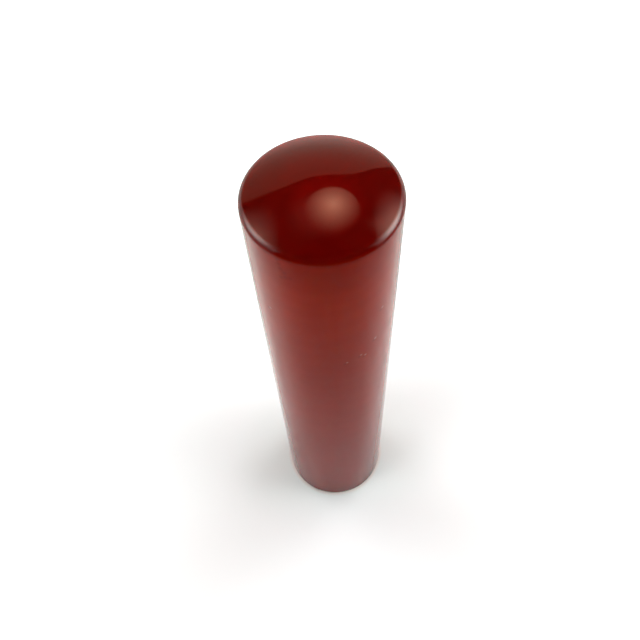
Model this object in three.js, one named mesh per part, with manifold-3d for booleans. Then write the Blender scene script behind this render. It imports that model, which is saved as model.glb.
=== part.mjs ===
// Round seal stamp: one polished bar of red agate with a domed upper end and a carved sealing face.
// Millimetres, +Z up. The origin is the centre of the sealing face, which the stamp stands on.
import * as THREE from 'three';
import { mergeVertices } from 'three/addons/utils/BufferGeometryUtils.js';
import Module from 'manifold-3d';

const wasm = await Module();
wasm.setup();

// Driving dimensions of the bar.
const barDiameter = 13.5;
const barLength = 60; // from the sealing face to the crown of the dome
const crownRise = 1.7; // from the top of the straight side to the crown
const rimRadius = 0.7; // rounded rim between the straight side and the dome
const faceEdgeRadius = 0.25; // rounded edge between the straight side and the sealing face

// Driving dimensions of the carving in the sealing face.
const borderWidth = 0.75; // raised ring left standing at the edge of the face
const carvingDepth = 0.8; // how far the ground lies behind the ring and the lines
const lineWidth = 0.45; // raised lines of the lattice
const circlePitch = 3.7; // from the centre of one lattice circle to the next

// How finely the round shapes are divided.
const barSegments = 72;
const circleSegments = 48;
const domeSteps = 7;
const rimSteps = 5;
const faceEdgeSteps = 2;

const barRadius = barDiameter / 2;
const faceRadius = barRadius - faceEdgeRadius;
const groundRadius = faceRadius - borderWidth;
const sideTop = barLength - crownRise;

const agate = new THREE.MeshStandardMaterial({ color: 0x7b1a14, roughness: 0.12, metalness: 0 });

// Points of an arc in the profile plane, where x is the radius from the axis and y is the height.
function arcPoints(centreX, centreY, radius, startAngle, endAngle, steps) {
  return Array.from({ length: steps + 1 }, (_, i) => {
    const angle = THREE.MathUtils.lerp(startAngle, endAngle, i / steps);
    return new THREE.Vector2(centreX + radius * Math.cos(angle), centreY + radius * Math.sin(angle));
  });
}

// A closed solid of revolution about +Z from a profile that starts and ends on the axis, or closes on itself.
function turned(points, segments) {
  return new THREE.LatheGeometry(points, segments).rotateX(Math.PI / 2);
}

// A manifold solid from a closed geometry, without the zero-area triangles that a lathe leaves on its axis.
function solidOf(geometry) {
  geometry.deleteAttribute('normal');
  geometry.deleteAttribute('uv');
  const merged = mergeVertices(geometry, 1e-4);
  const corners = merged.index.array;
  const triangles = [];
  for (let i = 0; i < corners.length; i += 3) {
    const [a, b, c] = corners.slice(i, i + 3);
    if (a !== b && b !== c && c !== a) {
      triangles.push(a, b, c);
    }
  }
  const vertProperties = new Float32Array(merged.attributes.position.array);
  return new wasm.Manifold(new wasm.Mesh({ numProp: 3, vertProperties, triVerts: new Uint32Array(triangles) }));
}

function geometryOf(solid) {
  const { vertProperties, triVerts } = solid.getMesh();
  const geometry = new THREE.BufferGeometry();
  geometry.setAttribute('position', new THREE.BufferAttribute(vertProperties, 3));
  geometry.setIndex(new THREE.BufferAttribute(triVerts, 1));
  geometry.computeVertexNormals();
  return geometry;
}

// The bar before carving. The dome is part of a sphere that runs smoothly into the rounded rim:
// the sphere's radius is the one that reaches the crown and touches the rim's arc without a corner.
function barSolid() {
  const rimCentre = barRadius - rimRadius;
  const sphereRadius = (crownRise ** 2 + rimCentre ** 2 - rimRadius ** 2) / (2 * (crownRise - rimRadius));
  const sphereCentre = barLength - sphereRadius;
  const touchAngle = Math.atan2(sideTop - sphereCentre, rimCentre);
  const quarter = Math.PI / 2;
  const profile = [
    new THREE.Vector2(0, 0),
    ...arcPoints(faceRadius, faceEdgeRadius, faceEdgeRadius, -quarter, 0, faceEdgeSteps),
    ...arcPoints(rimCentre, sideTop, rimRadius, 0, touchAngle, rimSteps),
    ...arcPoints(0, sphereCentre, sphereRadius, touchAngle, quarter, domeSteps).slice(1, -1),
    new THREE.Vector2(0, barLength),
  ];
  return solidOf(turned(profile, barSegments));
}

// A disc or a ring standing on the sealing face's plane and reaching past it, as deep as the carving.
function ringSolid(innerRadius, outerRadius, segments) {
  const low = -carvingDepth;
  const high = carvingDepth;
  const profile = [
    new THREE.Vector2(innerRadius, low),
    new THREE.Vector2(outerRadius, low),
    new THREE.Vector2(outerRadius, high),
    new THREE.Vector2(innerRadius, high),
    new THREE.Vector2(innerRadius, low),
  ];
  return solidOf(turned(profile, segments));
}

// What the graver takes away: the round ground inside the border, less the lines of equal circles that
// cross each other a quarter turn apart, a common lattice of interlaced circles.
function carvedGround() {
  const circleRadius = circlePitch / Math.SQRT2;
  const reach = Math.ceil((groundRadius + circleRadius) / circlePitch);
  let ground = solidOf(turned([
    new THREE.Vector2(0, -carvingDepth),
    new THREE.Vector2(groundRadius, -carvingDepth),
    new THREE.Vector2(groundRadius, carvingDepth),
    new THREE.Vector2(0, carvingDepth),
  ], barSegments));
  const line = ringSolid(circleRadius - lineWidth / 2, circleRadius + lineWidth / 2, circleSegments);
  for (let column = -reach; column <= reach; column += 1) {
    for (let row = -reach; row <= reach; row += 1) {
      const centre = [column * circlePitch, row * circlePitch];
      if (Math.hypot(...centre) < groundRadius + circleRadius) {
        ground = ground.subtract(line.translate([...centre, 0]));
      }
    }
  }
  return ground;
}

const sealStone = new THREE.Mesh(geometryOf(barSolid().subtract(carvedGround())), agate);
sealStone.name = 'seal_stone';

const sealStamp = new THREE.Group();
sealStamp.add(sealStone);

export default sealStamp;
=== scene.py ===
"""A round agate seal stamp on a white table, seen close from above. Sizes and places are in metres."""
import math

import bpy
from mathutils import Matrix, Vector


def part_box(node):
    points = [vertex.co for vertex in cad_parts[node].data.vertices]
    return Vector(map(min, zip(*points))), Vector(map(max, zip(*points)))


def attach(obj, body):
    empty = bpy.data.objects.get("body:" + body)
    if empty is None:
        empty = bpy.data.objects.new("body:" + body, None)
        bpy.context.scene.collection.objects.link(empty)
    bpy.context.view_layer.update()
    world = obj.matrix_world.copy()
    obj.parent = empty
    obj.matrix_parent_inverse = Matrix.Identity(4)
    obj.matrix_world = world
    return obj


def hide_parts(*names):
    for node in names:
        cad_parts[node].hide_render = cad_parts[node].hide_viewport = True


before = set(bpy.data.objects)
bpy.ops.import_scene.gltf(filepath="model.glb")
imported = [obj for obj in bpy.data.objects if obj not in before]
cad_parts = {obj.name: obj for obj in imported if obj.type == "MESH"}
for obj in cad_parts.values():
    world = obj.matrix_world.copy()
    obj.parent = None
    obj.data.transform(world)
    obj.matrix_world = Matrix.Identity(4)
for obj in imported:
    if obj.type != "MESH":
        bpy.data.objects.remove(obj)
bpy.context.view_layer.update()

# The seal stone: one bar of deep red agate, turned round, domed and polished on its upper end. The lower end
# is lapped flat and carved, so that a border ring and a lattice of crossing circles stand proud and take the
# ink. Nothing is fixed to it: the whole stamp is this one stone.
stone_low, stone_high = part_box("seal_stone")
bar_radius = (stone_high.x - stone_low.x) / 2
bar_length = stone_high.z - stone_low.z
crown_rise = 0.0017
rim_radius = 0.0007
face_edge_radius = 0.00025
border_width = 0.00075
carving_depth = 0.0008
line_width = 0.00045
line_flare = 0.00008
circle_pitch = 0.0037
stone_turns = 256


def add_node(tree, kind, inputs=None, **settings):
    """Adds a node, sets its options, and links or sets its input sockets."""
    made = tree.nodes.new(kind)
    for option, value in settings.items():
        setattr(made, option, value)
    for key, value in (inputs or {}).items():
        if isinstance(value, bpy.types.NodeSocket):
            tree.links.new(value, made.inputs[key])
        else:
            made.inputs[key].default_value = value
    return made


def calculate(tree, operation, *values):
    """A math node's result from numbers or sockets."""
    return add_node(tree, "ShaderNodeMath", dict(enumerate(values)), operation=operation).outputs[0]


def point(tree, x=0.0, y=0.0, z=0.0):
    return add_node(tree, "ShaderNodeCombineXYZ", {"X": x, "Y": y, "Z": z}).outputs[0]


def moved(tree, geometry, place):
    settings = {"Geometry": geometry, "Translation": place}
    return add_node(tree, "GeometryNodeTransform", settings).outputs[0]


def build_stone_tree(finish):
    """Turns the bar's profile round its axis, then cuts the carving's ground out of its lower end."""
    tree = bpy.data.node_groups.new("turned_and_carved_stone", "GeometryNodeTree")
    tree.interface.new_socket("Geometry", in_out="OUTPUT", socket_type="NodeSocketGeometry")
    sizes = {
        "Bar radius": bar_radius,
        "Bar length": bar_length,
        "Crown rise": crown_rise,
        "Rim radius": rim_radius,
        "Face edge radius": face_edge_radius,
        "Border width": border_width,
        "Carving depth": carving_depth,
        "Line width": line_width,
        "Line flare": line_flare,
        "Circle pitch": circle_pitch,
    }
    for size_name in sizes:
        tree.interface.new_socket(size_name, in_out="INPUT", socket_type="NodeSocketFloat")
    tree.interface.new_socket("Turns", in_out="INPUT", socket_type="NodeSocketInt")
    given = tree.nodes.new("NodeGroupInput").outputs
    radius, length = given["Bar radius"], given["Bar length"]
    rise, rim, edge = given["Crown rise"], given["Rim radius"], given["Face edge radius"]
    turns = given["Turns"]

    def math_of(operation, *values):
        return calculate(tree, operation, *values)

    side_top = math_of("SUBTRACT", length, rise)
    face_radius = math_of("SUBTRACT", radius, edge)
    rim_centre = math_of("SUBTRACT", radius, rim)
    rise_over_rim = math_of("SUBTRACT", rise, rim)
    squares = math_of("MULTIPLY_ADD", rim_centre, rim_centre, math_of("POWER", rise, 2.0))
    squares = math_of("SUBTRACT", squares, math_of("POWER", rim, 2.0))
    dome_radius = math_of("DIVIDE", squares, math_of("MULTIPLY", rise_over_rim, 2.0))
    dome_centre = math_of("SUBTRACT", length, dome_radius)
    touch_angle = math_of("ARCTAN2", math_of("SUBTRACT", side_top, dome_centre), rim_centre)
    quarter = math.pi / 2

    def arc(centre_x, centre_y, arc_radius, start, sweep, steps):
        inputs = {
            "Resolution": steps + 1,
            "Radius": arc_radius,
            "Start Angle": start,
            "Sweep Angle": sweep,
        }
        curve = add_node(tree, "GeometryNodeCurveArc", inputs).outputs["Curve"]
        return moved(tree, curve, point(tree, centre_x, centre_y))

    side_ends = {"Start": point(tree, radius, edge), "End": point(tree, radius, side_top)}
    side = add_node(tree, "GeometryNodeCurvePrimitiveLine", side_ends).outputs[0]
    side = add_node(tree, "GeometryNodeResampleCurve", {"Curve": side, "Count": 49}).outputs[0]
    profile = add_node(tree, "GeometryNodeJoinGeometry")
    for part in (
        arc(face_radius, edge, edge, -quarter, quarter, 8),
        side,
        arc(rim_centre, side_top, rim, 0.0, touch_angle, 16),
        arc(0.0, dome_centre, dome_radius, touch_angle, math_of("SUBTRACT", quarter, touch_angle), 64),
    ):
        tree.links.new(part, profile.inputs[0])

    # The profile is swept along a small circle round the axis, and stands that circle's radius nearer to it.
    sweep_radius = 0.001
    circle_sizes = {"Resolution": turns, "Radius": sweep_radius}
    circle = add_node(tree, "GeometryNodeCurvePrimitiveCircle", circle_sizes).outputs[0]
    circle = add_node(tree, "GeometryNodeSetCurveNormal", {"Curve": circle}, mode="Z_UP").outputs[0]
    shifted = add_node(tree, "GeometryNodeTransform", {
        "Geometry": profile.outputs[0],
        "Translation": point(tree, -sweep_radius),
        "Scale": (1.0, -1.0, 1.0),
    }).outputs[0]
    swept = add_node(tree, "GeometryNodeCurveToMesh", {"Curve": circle, "Profile Curve": shifted}).outputs[0]
    face_sizes = {"Vertices": turns, "Radius": face_radius}
    face = add_node(tree, "GeometryNodeMeshCircle", face_sizes, fill_type="NGON").outputs[0]
    shell = add_node(tree, "GeometryNodeJoinGeometry")
    tree.links.new(swept, shell.inputs[0])
    tree.links.new(face, shell.inputs[0])
    closed = {"Geometry": shell.outputs[0], "Distance": 1e-7}
    bar = add_node(tree, "GeometryNodeMergeByDistance", closed).outputs[0]
    bar = add_node(tree, "GeometryNodeFlipFaces", {"Mesh": bar}).outputs[0]

    # The ground inside the border, less the flared lines of circles that cross a quarter turn apart.
    depth, width = given["Carving depth"], given["Line width"]
    flare, pitch = given["Line flare"], given["Circle pitch"]
    ground_radius = math_of("SUBTRACT", face_radius, given["Border width"])
    circle_radius = math_of("DIVIDE", pitch, math.sqrt(2))
    double_depth = math_of("MULTIPLY", depth, 2.0)
    ground = add_node(tree, "GeometryNodeMeshCone", {
        "Vertices": turns,
        "Radius Top": math_of("SUBTRACT", ground_radius, flare),
        "Radius Bottom": math_of("ADD", ground_radius, flare),
        "Depth": double_depth,
    }).outputs[0]
    ground = moved(tree, ground, point(tree, z=math_of("MULTIPLY", depth, -1.0)))
    line = add_node(tree, "GeometryNodeCurvePrimitiveQuadrilateral", {
        "Height": math_of("MULTIPLY", depth, 3.0),
        "Bottom Width": math_of("MULTIPLY_ADD", flare, -3.0, width),
        "Top Width": math_of("MULTIPLY_ADD", flare, 3.0, width),
        "Offset": 0.0,
    }, mode="TRAPEZOID").outputs[0]
    ring_sizes = {"Resolution": 128, "Radius": circle_radius}
    ring_path = add_node(tree, "GeometryNodeCurvePrimitiveCircle", ring_sizes).outputs[0]
    ring_path = add_node(tree, "GeometryNodeSetCurveNormal", {"Curve": ring_path}, mode="Z_UP").outputs[0]
    ring_parts = {"Curve": ring_path, "Profile Curve": line, "Fill Caps": False}
    ring = add_node(tree, "GeometryNodeCurveToMesh", ring_parts).outputs[0]
    reach = math_of("CEIL", math_of("DIVIDE", math_of("ADD", ground_radius, circle_radius), pitch))
    span = math_of("MULTIPLY", math_of("MULTIPLY", reach, pitch), 2.0)
    count = math_of("MULTIPLY_ADD", reach, 2.0, 1.0)
    grid = {"Size X": span, "Size Y": span, "Vertices X": count, "Vertices Y": count}
    centres = add_node(tree, "GeometryNodeMeshGrid", grid).outputs[0]
    place = tree.nodes.new("GeometryNodeInputPosition").outputs[0]
    away = add_node(tree, "ShaderNodeVectorMath", {0: place}, operation="LENGTH").outputs["Value"]
    farthest = math_of("ADD", ground_radius, circle_radius)
    near = add_node(tree, "FunctionNodeCompare", {0: away, 1: farthest}, operation="LESS_THAN").outputs[0]
    ring_places = {"Points": centres, "Selection": near, "Instance": ring}
    rings = add_node(tree, "GeometryNodeInstanceOnPoints", ring_places).outputs[0]
    cutter = add_node(tree, "GeometryNodeMeshBoolean", {"Mesh 1": ground, "Mesh 2": rings},
                      operation="DIFFERENCE", solver="MANIFOLD")
    carved = add_node(tree, "GeometryNodeMeshBoolean", {"Mesh 1": bar, "Mesh 2": cutter.outputs[0]},
                      operation="DIFFERENCE", solver="MANIFOLD")
    loose = {"Geometry": carved.outputs[0], "Distance": 1e-6}
    welded = add_node(tree, "GeometryNodeMergeByDistance", loose).outputs[0]

    # Round surfaces are shaded smooth, and the arrises of the carving stay crisp.
    angle = tree.nodes.new("GeometryNodeInputMeshEdgeAngle").outputs["Unsigned Angle"]
    sharp_angle = {0: angle, 1: math.radians(30)}
    crisp = add_node(tree, "FunctionNodeCompare", sharp_angle, operation="GREATER_THAN").outputs[0]
    smooth = add_node(tree, "GeometryNodeSetShadeSmooth", {"Geometry": welded}).outputs[0]
    marked = {"Geometry": smooth, "Name": "sharp_edge", "Value": crisp}
    creased = add_node(tree, "GeometryNodeStoreNamedAttribute", marked, data_type="BOOLEAN", domain="EDGE")
    whole = add_node(tree, "GeometryNodeRealizeInstances", {"Geometry": creased.outputs[0]}).outputs[0]
    done = add_node(tree, "GeometryNodeSetMaterial", {"Geometry": whole, "Material": finish}).outputs[0]
    tree.links.new(done, tree.nodes.new("NodeGroupOutput").inputs[0])
    return tree, sizes


def plain_mesh(tree, values, name, finish):
    """Runs the tree with its named inputs and returns its result as an ordinary mesh object."""
    carrier = bpy.data.objects.new(name + "_carrier", bpy.data.meshes.new(name + "_carrier"))
    bpy.context.scene.collection.objects.link(carrier)
    modifier = carrier.modifiers.new("stone", "NODES")
    modifier.node_group = tree
    for socket in tree.interface.items_tree:
        if socket.in_out == "INPUT":
            modifier[socket.identifier] = values[socket.name]
    evaluated = carrier.evaluated_get(bpy.context.evaluated_depsgraph_get())
    mesh = bpy.data.meshes.new_from_object(evaluated)
    bpy.data.objects.remove(carrier)
    mesh.materials.clear()
    mesh.materials.append(finish)
    mesh.name = name
    made = bpy.data.objects.new(name, mesh)
    bpy.context.scene.collection.objects.link(made)
    return made


def ranged(tree, value, low, high, start=0.0, end=1.0, smooth=False):
    """Where a value lies between low and high, spread from start to end and held there beyond them."""
    inputs = {"Value": value, "From Min": low, "From Max": high, "To Min": start, "To Max": end}
    kind = "SMOOTHSTEP" if smooth else "LINEAR"
    return add_node(tree, "ShaderNodeMapRange", inputs, interpolation_type=kind).outputs[0]


def blended(tree, factor, first, second):
    """The first colour at a factor of 0 and the second at 1."""
    inputs = {0: factor, 6: first, 7: second}
    return add_node(tree, "ShaderNodeMix", inputs, data_type="RGBA").outputs[2]


def distance(tree, place, spot):
    """How far each place is from one fixed spot."""
    return add_node(tree, "ShaderNodeVectorMath", {0: place, 1: spot}, operation="DISTANCE").outputs["Value"]


def length_of(tree, vector):
    return add_node(tree, "ShaderNodeVectorMath", {0: vector}, operation="LENGTH").outputs["Value"]


def bare_material(name):
    """A new material and its empty node tree."""
    material = bpy.data.materials.new(name)
    material.use_nodes = True
    material.node_tree.nodes.clear()
    return material, material.node_tree


def build_agate():
    """Deep red polished agate: cloudy and faintly banded inside, and matt on the face and in the carving.
    Shade, a glow and pit highlights are painted into its colour.
    """
    material, tree = bare_material("polished_red_agate")
    place = tree.nodes.new("ShaderNodeTexCoord").outputs["Object"]
    height = add_node(tree, "ShaderNodeSeparateXYZ", {0: place}).outputs["Z"]

    def ramp(value, low, high, start=0.0, end=1.0, smooth=True):
        return ranged(tree, value, low, high, start, end, smooth)

    def noise(size, detail=2.0, roughness=0.5, stretch=(1.0, 1.0, 1.0)):
        spread = {0: place, 1: tuple(s / size for s in stretch)}
        scaled = add_node(tree, "ShaderNodeVectorMath", spread, operation="MULTIPLY").outputs[0]
        inputs = {"Vector": scaled, "Scale": 1.0, "Detail": detail, "Roughness": roughness}
        return add_node(tree, "ShaderNodeTexNoise", inputs).outputs[0]

    def mixed(factor, first, second):
        return blended(tree, factor, first, second)

    # Colour: cloudy patches some millimetres across, and faint wavy bands lying across the bar.
    clouds = noise(0.009, 3.0, 0.55, (1.0, 1.0, 0.6))
    waviness = noise(0.012, 2.0, 0.5)
    across = calculate(tree, "MULTIPLY_ADD", waviness, 0.010, height)
    bands = calculate(tree, "SINE", calculate(tree, "MULTIPLY", across, 2600.0))
    colour = mixed(ramp(clouds, 0.3, 0.7), (0.315, 0.0120, 0.0006, 1.0), (0.37, 0.0155, 0.0008, 1.0))
    colour = mixed(ramp(bands, -1.0, 1.0, 0.0, 0.10), colour, (0.23, 0.007, 0.0006, 1.0))
    # Painted shade: the colour darkens towards the sealing face, for the dimmer light from the shadowed table
    # there.
    colour = mixed(ramp(height, 0.0, 0.050, 1.0, 0.0, False), colour, (0.19, 0.006, 0.0005, 1.0))
    # The domed end is darker than the side, and darker still towards its edge. Near its middle is a painted
    # glow: a redder patch for the light the round lamp sends into the stone under its highlight.
    from_painted_glow = distance(tree, place, (0.0003, -0.0018, 0.0598))
    end = mixed(ramp(from_painted_glow, 0.0018, 0.0034), (0.128, 0.0008, 0.0005, 1.0), (0.098, 0.0008, 0.0005, 1.0))
    end = mixed(ramp(from_painted_glow, 0.0040, 0.0070), end, (0.070, 0.0012, 0.0008, 1.0))
    colour = mixed(ramp(height, 0.0535, 0.0583, 0.0, 0.33, False), colour, end)
    colour = mixed(ramp(height, 0.0578, 0.0590), colour, end)

    def spots(places):
        """How near the surface is to the nearest of some small spots, given as (angle, height, size)."""
        nearness = 0.0
        for angle, up, size in places:
            turn = math.radians(angle)
            middle = (bar_radius * math.sin(turn), -bar_radius * math.cos(turn), up)
            nearness = calculate(tree, "MAXIMUM", nearness, ramp(distance(tree, place, middle), size, 0.0))
        return nearness

    # Two faint dark veins under the rim and one on the back, each a short row of soft spots.
    veins = spots([
        (-34.0, 0.0581, 0.00040),
        (-33.5, 0.0576, 0.00038),
        (-32.5, 0.0570, 0.00036),
        (-30.0, 0.0566, 0.00034),
        (-33.0, 0.0558, 0.00034),
        (-29.5, 0.0560, 0.00038),
        (-26.0, 0.0561, 0.00034),
        (148.0, 0.0332, 0.00045),
        (151.0, 0.0327, 0.00055),
        (154.5, 0.0324, 0.00050),
        (158.0, 0.0323, 0.00040),
    ])
    colour = mixed(calculate(tree, "MULTIPLY", veins, 0.35), colour, (0.10, 0.004, 0.002, 1.0))
    # A few tiny pits in the polish. Each is painted pale as a painted highlight, with a larger painted shade
    # just beside and below it.
    pit_places = [
        (-49.3, 0.0494, 0.00026),
        (45.0, 0.0488, 0.00026),
        (39.0, 0.0441, 0.00028),
        (25.0, 0.0425, 0.00022),
        (29.2, 0.0421, 0.00022),
        (12.5, 0.0420, 0.00020),
        (-104.0, 0.0310, 0.00024),
        (97.0, 0.0255, 0.00026),
        (128.0, 0.0490, 0.00024),
        (171.0, 0.0180, 0.00026),
        (-152.0, 0.0420, 0.00022),
        (-160.0, 0.0093, 0.00024),
    ]
    painted_pit_shade = spots([(angle - 1.8, up - 0.0002, size * 1.3) for angle, up, size in pit_places])
    pits_and_painted_glints = spots(pit_places)
    # Painted shade beside each pit, then its painted highlight.
    colour = mixed(calculate(tree, "MULTIPLY", painted_pit_shade, 0.45), colour, (0.10, 0.003, 0.001, 1.0))
    colour = mixed(calculate(tree, "MULTIPLY", pits_and_painted_glints, 0.35), colour, (0.62, 0.20, 0.15, 1.0))
    # Sawn and lapped stone scatters more light, so the sealing face and the carving are paler.
    flat = {0: place, 1: (1.0, 1.0, 0.0)}
    outward = length_of(tree, add_node(tree, "ShaderNodeVectorMath", flat, operation="MULTIPLY").outputs[0])
    carved = calculate(tree, "MULTIPLY", ramp(height, 0.00095, 0.00085), ramp(outward, 0.00665, 0.00650))
    colour = mixed(carved, colour, (0.36, 0.040, 0.028, 1.0))
    # Fine sawn streaks on it hold a trace of pale stone dust.
    dust = noise(0.00045, 3.0, 0.6, (1.0, 3.0, 1.0))
    dusty = calculate(tree, "MULTIPLY", carved, ramp(dust, 0.45, 0.75, 0.0, 0.35))
    colour = mixed(dusty, colour, (0.62, 0.22, 0.17, 1.0))

    # Polish: almost glassy all over, a little uneven, and matt on the face and in the carving.
    wear = noise(0.0022, 4.0, 0.6)
    polish = ramp(wear, 0.35, 0.75, 0.035, 0.075)
    matt = add_node(tree, "ShaderNodeMix", {0: carved, 2: polish, 3: 0.5}, data_type="FLOAT").outputs[0]

    # Relief: a slight orange peel from polishing, the tool's scratches in the carved ground, and the pits.
    peel = noise(0.0016, 2.0, 0.5)
    grit = noise(0.00012, 3.0, 0.6)
    scratches = calculate(tree, "MULTIPLY", calculate(tree, "MULTIPLY", carved, 0.000006), grit)
    relief = calculate(tree, "MULTIPLY_ADD", peel, 0.0000012, scratches)
    relief = calculate(tree, "MULTIPLY_ADD", pits_and_painted_glints, -0.000025, relief)
    bump = add_node(tree, "ShaderNodeBump", {"Height": relief, "Strength": 1.0, "Distance": 1.0}).outputs[0]

    # The side's gloss is faint where it faces the eye and strong at a glancing angle.
    glance = tree.nodes.new("ShaderNodeLayerWeight").outputs["Facing"]
    side_gloss = calculate(tree, "MULTIPLY_ADD", calculate(tree, "POWER", glance, 3.6), 0.22, 1.125)
    crown = ramp(height, 0.0585, 0.0589)
    gloss = add_node(tree, "ShaderNodeMix", {0: crown, 2: side_gloss, 3: 1.54}, data_type="FLOAT").outputs[0]
    gleam = mixed(ramp(height, 0.0584, 0.0587), (0.1, 0.05, 0.05, 1.0), (1.0, 0.85, 0.8, 1.0))
    gleam = mixed(ramp(height, 0.05885, 0.0590), gleam, (1.0, 0.5, 0.36, 1.0))
    shader = add_node(tree, "ShaderNodeBsdfPrincipled", {
        "Base Color": colour,
        "Roughness": matt,
        "Normal": bump,
        "IOR": gloss,
        "Specular Tint": gleam,
        "Subsurface Weight": 1.0,
        "Subsurface Radius": (1.0, 0.12, 0.08),
        "Subsurface Scale": 0.010,
    }).outputs[0]
    add_node(tree, "ShaderNodeOutputMaterial", {"Surface": shader})
    return material


agate = build_agate()
stone_tree, stone_sizes = build_stone_tree(agate)
seal = plain_mesh(stone_tree, {**stone_sizes, "Turns": stone_turns}, "polished_seal_stone", agate)
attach(seal, "root")
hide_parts("seal_stone")

# The table: a plain white sheet that fills the picture and ends just in front of it. It isn't part of the
# stamp. It keeps the stamp's shadow, and away from the stamp it looks plain white.
table_left, table_right = -2.5, 2.5
table_front, table_back = -0.08, 2.5
table_height = -0.00002
table_corners = [
    (table_left, table_front, table_height),
    (table_right, table_front, table_height),
    (table_right, table_back, table_height),
    (table_left, table_back, table_height),
]


def flat_board(name, corners, finish):
    """An object of one flat face with the given corners and finish."""
    mesh = bpy.data.meshes.new(name)
    mesh.from_pydata(corners, [], [tuple(range(len(corners)))])
    mesh.materials.append(finish)
    board = bpy.data.objects.new(name, mesh)
    bpy.context.scene.collection.objects.link(board)
    return board


def glowing(tree, strength, colour=(1.0, 1.0, 1.0, 1.0)):
    """Light that a surface gives off. At a strength of 1 it has just the colour that is written."""
    return add_node(tree, "ShaderNodeEmission", {"Color": colour, "Strength": strength}).outputs[0]


def together(tree, first, second):
    return add_node(tree, "ShaderNodeAddShader", {0: first, 1: second}).outputs[0]


def build_sheet():
    """White paper in plain light, with painted shade at the stamp's foot and painted glows: white to the eye
    away from the stamp, greener where the stone mirrors it.
    """
    material, tree = bare_material("white_table_sheet")
    seen = tree.nodes.new("ShaderNodeLightPath").outputs
    in_polish = calculate(tree, "MAXIMUM", seen["Is Glossy Ray"], seen["Is Transmission Ray"])
    spot = tree.nodes.new("ShaderNodeTexCoord").outputs["Object"]
    away = length_of(tree, spot)
    sides = add_node(tree, "ShaderNodeSeparateXYZ", {0: spot}).outputs

    # The sheet is painted a touch cooler near the stamp, which evens out the stone's red light on it, and less
    # so in front.
    clear = ranged(tree, away, 0.0075, 0.016)
    tone = blended(tree, clear, (0.90, 0.975, 0.96, 1.0), (0.955, 0.985, 0.985, 1.0))
    in_front = ranged(tree, sides["Y"], -0.006, -0.012)
    tone = blended(tree, in_front, tone, (0.94, 0.95, 0.95, 1.0))
    # Painted shade and light: a darker, warm soft edge where the stone stands, for the shadow at its foot and
    # the red light the stone throws there.
    beyond_painted_foot_shade = ranged(tree, away, 0.00665, 0.0072)
    tone = blended(tree, beyond_painted_foot_shade, (0.86, 0.80, 0.73, 1.0), tone)
    # Painted shadow: straight behind the stamp the sheet is darkened as the polish sees it, because the stamp
    # stands in its light.
    beside = calculate(tree, "SUBTRACT", calculate(tree, "ABSOLUTE", sides["X"]), bar_radius)
    beside = calculate(tree, "DIVIDE", beside, sides["Y"])
    painted_back_shadow = ranged(tree, beside, 1.65, 0.1, 0.0, 0.52, smooth=True)
    painted_back_shadow = calculate(tree, "MULTIPLY", painted_back_shadow, ranged(tree, sides["Y"], 0.011, 0.026))
    painted_back_shadow = calculate(tree, "MULTIPLY", painted_back_shadow, in_polish)
    tone = blended(tree, painted_back_shadow, tone, (0.0, 0.0, 0.0, 1.0))
    sheet = add_node(tree, "ShaderNodeBsdfDiffuse", {"Color": tone}).outputs[0]

    # To the eye the sheet also glows white of its own, with none near the stamp and full strength beyond its
    # shadow, so it reaches plain white there.
    white = calculate(tree, "MULTIPLY", seen["Is Camera Ray"], ranged(tree, away, 0.012, 0.15))
    # A greenish painted glow seen only in the stone's polish: brighter on the left than on the right, and
    # least in front.
    polish_glow = ranged(tree, sides["X"], -0.05, 0.05, 0.66, 0.37)
    polish_glow = calculate(tree, "MULTIPLY", polish_glow, ranged(tree, sides["Y"], -0.04, -0.01, 0.3, 1.0))
    polish_glow = calculate(tree, "MULTIPLY", polish_glow, ranged(tree, away, 0.0095, 0.046))
    polish_glow = calculate(tree, "MULTIPLY", polish_glow, calculate(tree, "SUBTRACT", 1.0, painted_back_shadow))
    polish_glow = calculate(tree, "MULTIPLY", polish_glow, in_polish)
    lit = together(tree, sheet, glowing(tree, white))
    lit = together(tree, lit, glowing(tree, polish_glow, (0.86, 1.0, 0.84, 1.0)))
    add_node(tree, "ShaderNodeOutputMaterial", {"Surface": lit})
    return material


table = flat_board("white_table", table_corners, build_sheet())

# The room: white walls all round, plain white to look at and in the stone's polish. As a light they are much
# dimmer, so that the lamps shape the stone and its shadow.
world = bpy.data.worlds.new("white_room")
bpy.context.scene.world = world
world.use_nodes = True
room = world.node_tree
room.nodes.clear()
seen = room.nodes.new("ShaderNodeLightPath").outputs
shown = calculate(room, "MAXIMUM", seen["Is Camera Ray"], seen["Is Glossy Ray"])
shown = calculate(room, "MAXIMUM", shown, seen["Is Transmission Ray"])
room_light = 0.15
level = ranged(room, shown, 0.0, 1.0, room_light, 1.0)
plain_white = {"Color": (1.0, 1.0, 1.0, 1.0), "Strength": level}
plain_white = add_node(room, "ShaderNodeBackground", plain_white).outputs[0]
add_node(room, "ShaderNodeOutputWorld", {"Surface": plain_white})


# The cards: a dim brown one overhead with an uneven back edge, and black ones in front, where the photographer
# stands. They are flat boards hung in the studio, and show only in the stone's polish.
card_height = 0.50


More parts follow.
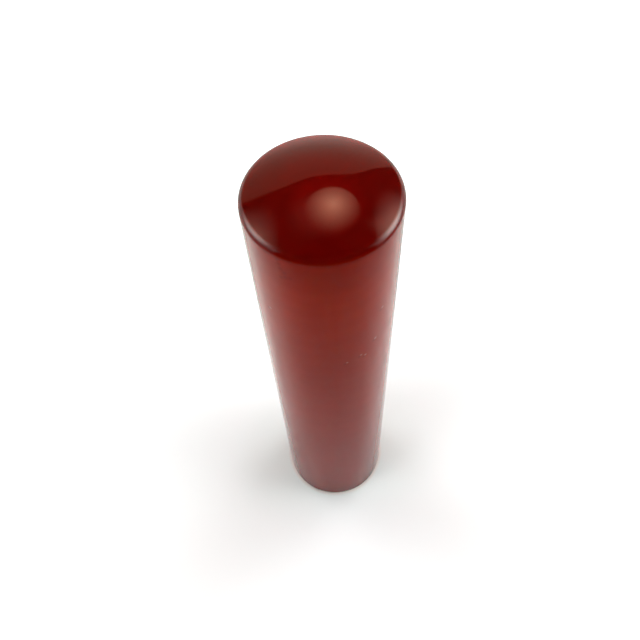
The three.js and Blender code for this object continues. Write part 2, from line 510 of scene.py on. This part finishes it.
def card(name, outline, glow, painted_end_light=0.0, painted_halo=0.0):
    """A flat card with a faint glow of its own, and painted light at its two ends and in a halo, for the light
    of the lamps near it.
    """
    finish, tree = bare_material(name)
    place = tree.nodes.new("ShaderNodeTexCoord").outputs["Object"]
    # Painted light at the card's two ends, for the side strips' light on it.
    card_middle_x, card_middle_y = -0.02, 0.14
    spot = add_node(tree, "ShaderNodeSeparateXYZ", {0: place}).outputs
    across = calculate(tree, "ABSOLUTE", calculate(tree, "SUBTRACT", spot["X"], card_middle_x))
    along = calculate(tree, "ABSOLUTE", calculate(tree, "SUBTRACT", spot["Y"], card_middle_y))
    near_strip = calculate(tree, "SUBTRACT", across, along)
    painted_spill = ranged(tree, near_strip, 0.17, 0.35, 0.0, painted_end_light, smooth=True)
    # A faint painted halo, for the round lamp's light on it.
    under_lamp = distance(tree, place, (-0.01, 0.195, card_height))
    painted_spill = calculate(tree, "ADD", painted_spill, ranged(tree, under_lamp, 0.16, 0.05, 0.0, painted_halo, smooth=True))
    lit = together(tree, glowing(tree, 1.0, glow), glowing(tree, painted_spill))
    add_node(tree, "ShaderNodeOutputMaterial", {"Surface": lit})
    board = flat_board(name, outline, finish)
    board.visible_camera = False
    board.visible_diffuse = False


overhead_back_edge = [
    (-0.95, 0.80),
    (-0.60, 0.56),
    (-0.47, 0.50),
    (-0.37, 0.455),
    (-0.31, 0.44),
    (-0.26, 0.435),
    (-0.21, 0.43),
    (-0.17, 0.43),
    (-0.14, 0.44),
    (-0.098, 0.452),
    (-0.061, 0.468),
    (-0.024, 0.48),
    (0.016, 0.487),
    (0.095, 0.498),
    (0.14, 0.512),
    (0.185, 0.532),
    (0.243, 0.59),
    (0.35, 0.725),
    (0.485, 0.875),
    (0.56, 0.955),
]
overhead_right_edge = [(0.60, 0.80), (0.56, 0.58), (0.49, 0.42), (0.48, 0.25), (0.48, -0.5)]
overhead_left_edge = [(-0.50, -0.5), (-0.50, 0.15), (-0.56, 0.36), (-0.75, 0.50)]
overhead = overhead_back_edge + overhead_right_edge + overhead_left_edge
overhead = [(x, y, card_height) for x, y in overhead]
card("overhead_card", overhead, (0.05, 0.025, 0.012, 1.0), painted_end_light=1.3, painted_halo=0.195)
arch_steps = 12
arch_turns = [step * math.pi / arch_steps for step in range(arch_steps + 1)]
arch = [(0.13 * math.cos(turn), -0.06 + 0.12 * math.sin(turn)) for turn in arch_turns]
front_top = [(x, y, 0.47) for x, y in arch + [(-0.16, -0.35), (0.16, -0.35)]]
card("front_card_top", front_top, (0.0, 0.0, 0.0, 1.0))
front = [(-0.6, -0.35, -0.4), (0.6, -0.35, -0.4), (0.6, -0.35, card_height), (-0.6, -0.35, card_height)]
card("front_card", front, (0.01, 0.01, 0.01, 1.0))

# The wall beyond the table glows of its own like a broad lamp: a pale glow at its foot and a darker warm glow
# higher up. It is out of the picture, and shows only in the stone's polish.
wall_left, wall_right = -1.3, 1.3
wall_place, wall_height = 1.2, 1.4
wall_corners = [
    (wall_left, wall_place, 0.0),
    (wall_right, wall_place, 0.0),
    (wall_right, wall_place, wall_height),
    (wall_left, wall_place, wall_height),
]
wall_brightness = 1.75
wall_finish, wall_tree = bare_material("warm_wall")
on_wall = wall_tree.nodes.new("ShaderNodeTexCoord").outputs["Object"]
up_wall = add_node(wall_tree, "ShaderNodeSeparateXYZ", {0: on_wall}).outputs["Z"]
wall_glow_ramp = add_node(wall_tree, "ShaderNodeValToRGB", {0: ranged(wall_tree, up_wall, 0.1, 1.1)})
shades = wall_glow_ramp.color_ramp.elements
shades[0].position, shades[0].color = 0.0, (1.0, 0.97, 0.93, 1.0)
shades[1].position, shades[1].color = 1.0, (0.36, 0.20, 0.15, 1.0)
for position, colour in (
    (0.16, (0.85, 0.78, 0.73, 1.0)),
    (0.34, (0.53, 0.46, 0.40, 1.0)),
    (0.52, (0.43, 0.295, 0.24, 1.0)),
    (0.71, (0.37, 0.23, 0.18, 1.0)),
):
    shades.new(position).color = colour
wall_light = glowing(wall_tree, wall_brightness, wall_glow_ramp.outputs[0])
add_node(wall_tree, "ShaderNodeOutputMaterial", {"Surface": wall_light})
wall = flat_board("warm_wall", wall_corners, wall_finish)
wall.visible_camera = False


# The lamps: a small round one high beyond the stamp and a tall strip at each side are seen in its polish. Four
# soft square panels round it light the stone and the table, and cast its soft shadow.
def lamp(name, azimuth, elevation, away, width, height, colour, strength,
         lights="body", is_round=False, roll=0.0):
    """A glowing panel facing the top of the stamp. Azimuth 0 is beyond the stamp and 90 is on its right."""
    aimed_at = Vector((0, 0, 0.058))
    turn, rise = math.radians(azimuth), math.radians(elevation)
    way = Vector((math.sin(turn) * math.cos(rise), math.cos(turn) * math.cos(rise), math.sin(rise)))
    facing = way.to_track_quat("Z", "Y").to_matrix().to_4x4()
    rolled = Matrix.Rotation(math.radians(roll), 4, "Z")
    sized = Matrix.Diagonal((width / 2, height / 2, 1, 1))
    glow, tree = bare_material(name)
    here = tree.nodes.new("ShaderNodeTexCoord").outputs["Object"]
    if is_round:
        corners = [(math.cos(a * math.tau / 64), math.sin(a * math.tau / 64), 0) for a in range(64)]
        # The bulb sits low behind the round diffuser, so the light fades away from there.
        reaches = [calculate(tree, "DIVIDE", distance(tree, here, (0.0, -0.28, 0.0)), 1.13)]
        sharpness = 1.6
    else:
        corners = [(-1, -1, 0), (1, -1, 0), (1, 1, 0), (-1, 1, 0)]
        spot = add_node(tree, "ShaderNodeSeparateXYZ", {0: here}).outputs
        reaches = [calculate(tree, "ABSOLUTE", spot[axis]) for axis in ("X", "Y")]
        sharpness = 1.0
    fade = strength
    for reach in reaches:
        fall = ranged(tree, reach, 1.0, 0.0, smooth=not is_round)
        fall = calculate(tree, "POWER", fall, sharpness)
        fade = calculate(tree, "MULTIPLY", fade, fall)
    clear = tree.nodes.new("ShaderNodeBsdfTransparent").outputs[0]
    panel_light = together(tree, glowing(tree, fade, colour), clear)
    add_node(tree, "ShaderNodeOutputMaterial", {"Surface": panel_light})
    panel = flat_board(name, corners, glow)
    panel.matrix_world = Matrix.Translation(aimed_at + way * away) @ facing @ rolled @ sized
    panel.visible_camera = False
    panel.visible_glossy = lights == "polish"
    panel.visible_diffuse = lights == "body"


plain_light = (1.0, 1.0, 1.0, 1.0)
warm_light = (1.0, 0.89, 0.72, 1.0)
lamp("round_lamp", 12.5, 66.0, 0.36, 0.17, 0.205, warm_light, 6.05, is_round=True, lights="polish")
lamp("left_strip", -83.0, 27.5, 0.38, 0.37, 0.70, plain_light, 4.8, lights="polish", roll=17.5)
lamp("right_strip", 86.0, 21.5, 0.38, 0.38, 0.80, plain_light, 8.1, lights="polish", roll=-30.0)
panel_elevation, panel_away, panel_side = 45.0, 0.42, 0.36
for name, azimuth, strength in (
    ("front_left_lamp", -112.0, 6.7),
    ("back_left_lamp", -51.5, 5.6),
    ("front_right_lamp", 97.0, 7.9),
    ("back_right_lamp", 51.5, 7.0),
):
    lamp(name, azimuth, panel_elevation, panel_away, panel_side, panel_side, plain_light, strength)

# The camera: above and in front of the stamp, looking steeply down at it, tilted a little as in the
# photograph. Its place, lens and tilt are fitted to the stamp's outline there.
pitch = math.radians(59.182)
roll = math.radians(-4.192)
sideways = Vector((1, 0, 0))
upright = Vector((0, math.sin(pitch), math.cos(pitch)))
ahead = Vector((0, math.cos(pitch), -math.sin(pitch)))
right = sideways * math.cos(roll) + upright * math.sin(roll)
up = upright * math.cos(roll) - sideways * math.sin(roll)
camera = bpy.data.objects.new("camera", bpy.data.cameras.new("camera"))
camera.data.lens = 37.83
camera.data.sensor_width = 36
camera.data.clip_start = 0.001
camera_place = Matrix.Translation((-0.000849, -0.035963, 0.099571))
camera.matrix_world = camera_place @ Matrix((right, up, -ahead)).transposed().to_4x4()
bpy.context.scene.collection.objects.link(camera)
bpy.context.scene.camera = camera
bpy.context.scene.view_settings.view_transform = "Standard"
